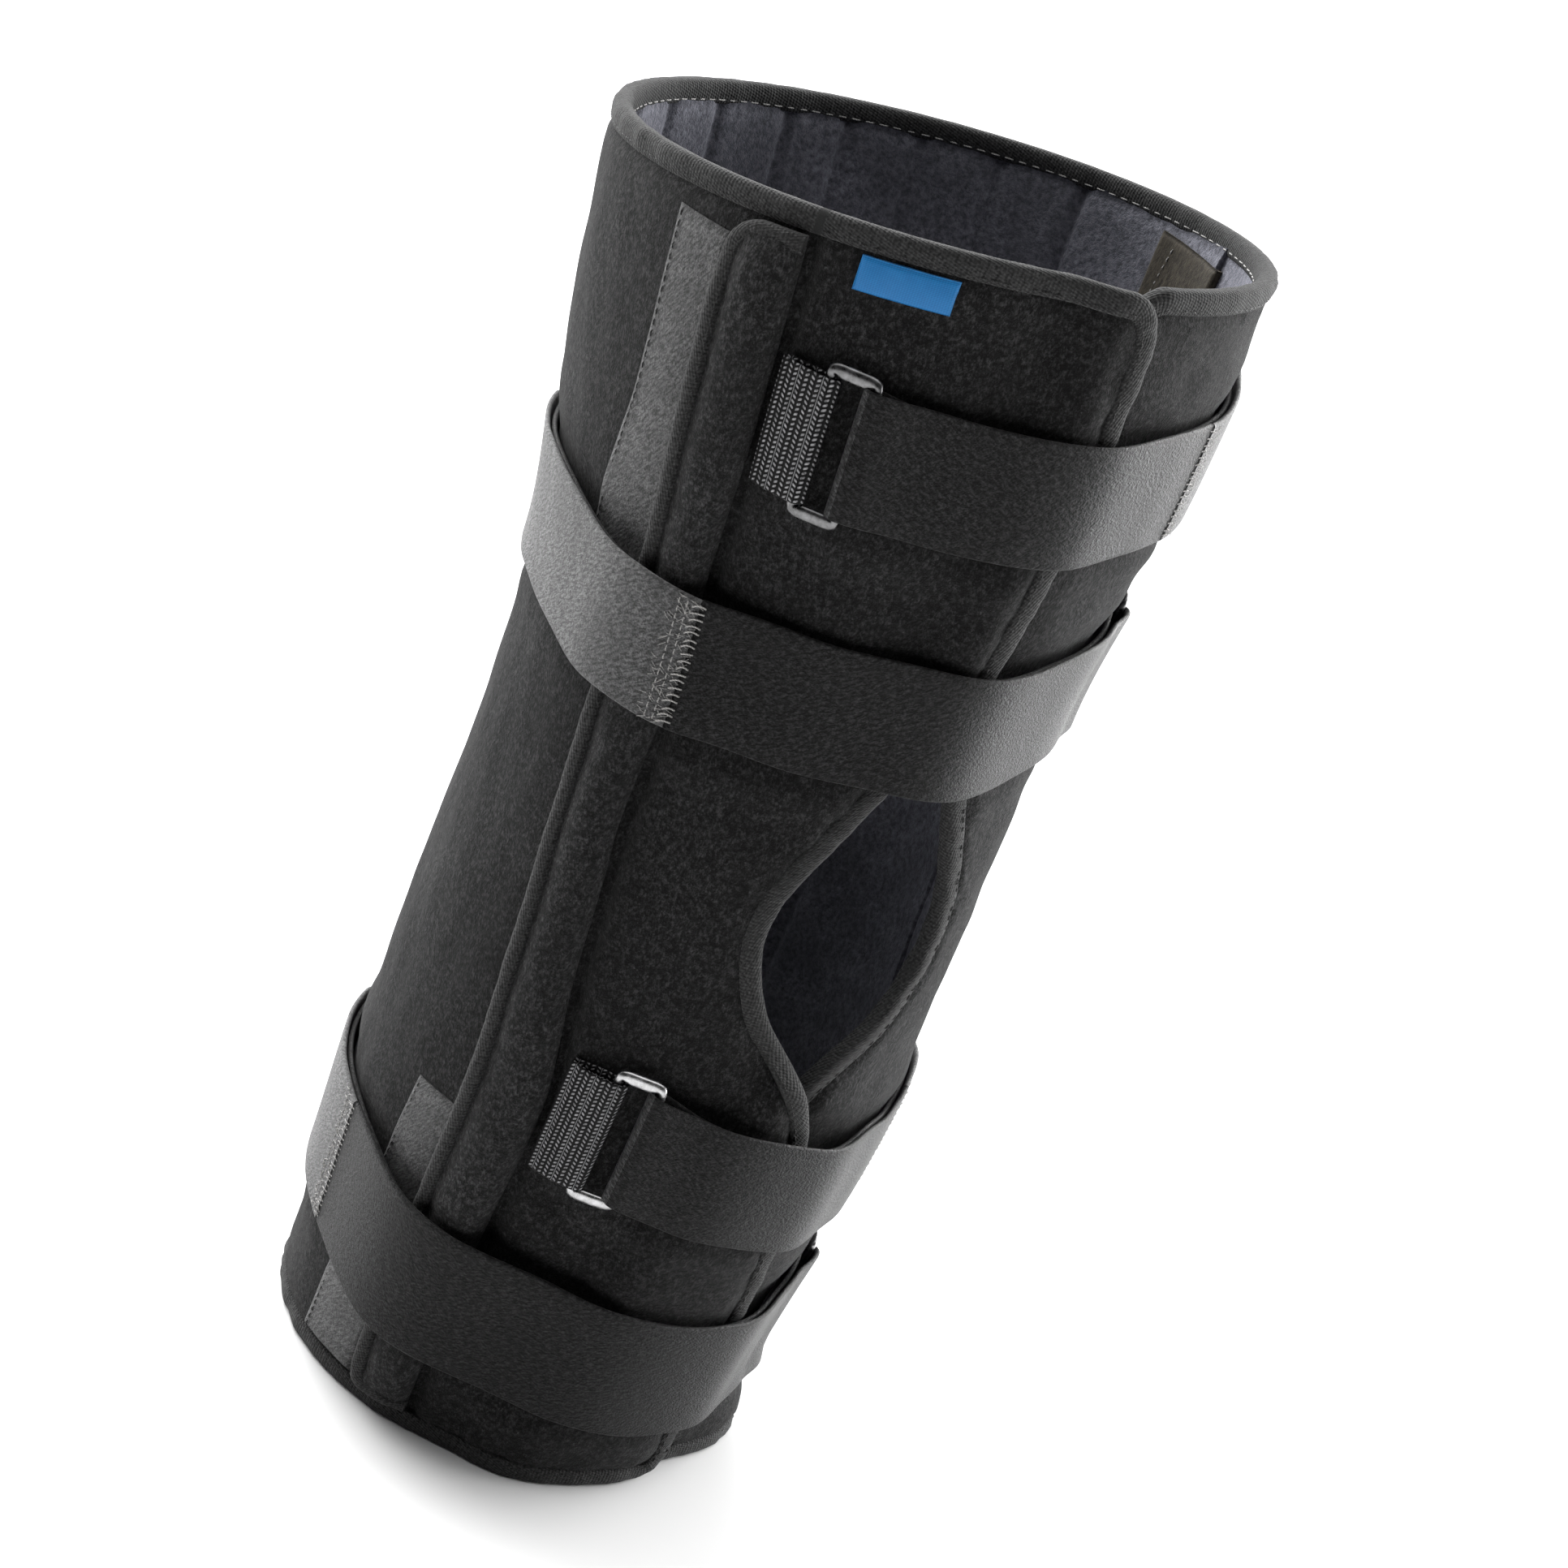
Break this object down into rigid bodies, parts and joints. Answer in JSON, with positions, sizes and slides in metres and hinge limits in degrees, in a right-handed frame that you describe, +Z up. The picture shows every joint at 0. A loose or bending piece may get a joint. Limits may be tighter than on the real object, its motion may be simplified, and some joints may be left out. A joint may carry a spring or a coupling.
{
  "type": "knee immobilizer",
  "caption": "Tall padded knee immobilizer standing as an open tube, with a kneecap opening, side stay pads, wrap straps through metal rings and a small bare label.",
  "frame": {"origin": "centre of the bounding box's bottom face, at the height of the lower hem", "axes": "+Z up along the limb, the kneecap opening faces -Y, +X to the right of one facing the front"},
  "size_m": [0.199, 0.199, 0.412],
  "materials": {
    "foam_fabric": "short brushed loop pile on foam",
    "plush_lining": "soft navy plush",
    "edge_tape": "flat knitted tape",
    "strap_fabric": "fine loop knit",
    "hook_fabric": "grey hook tape",
    "ribbed_webbing": "ribbed webbing with light yarns",
    "ring_metal": "smooth plated wire",
    "label_satin": "bare woven satin",
    "patch_fabric": "brown backing cloth"
  },
  "bodies": {
    "root": {"left_front_panel": "foam_fabric", "right_front_panel": "foam_fabric", "back_panel": "foam_fabric", "left_stay_pad": "foam_fabric", "right_stay_pad": "foam_fabric", "back_lining": "plush_lining", "edge_binding": "edge_tape", "left_pad_binding": "edge_tape", "right_pad_binding": "edge_tape", "thigh_strap": "strap_fabric", "above_knee_strap": "strap_fabric", "below_knee_strap": "strap_fabric", "calf_strap": "strap_fabric", "thigh_strap_tab": "hook_fabric", "above_knee_strap_tab": "hook_fabric", "below_knee_strap_tab": "hook_fabric", "calf_strap_tab": "hook_fabric", "left_upper_hook_strip": "hook_fabric", "left_lower_hook_strip": "hook_fabric", "right_upper_hook_strip": "hook_fabric", "right_lower_hook_strip": "hook_fabric", "thigh_strap_webbing": "ribbed_webbing", "above_knee_strap_webbing": "ribbed_webbing", "below_knee_strap_webbing": "ribbed_webbing", "calf_strap_webbing": "ribbed_webbing", "thigh_strap_ring": "ring_metal", "above_knee_strap_ring": "ring_metal", "below_knee_strap_ring": "ring_metal", "calf_strap_ring": "ring_metal", "label": "label_satin", "inner_patch": "patch_fabric"}
  },
  "joints": []
}
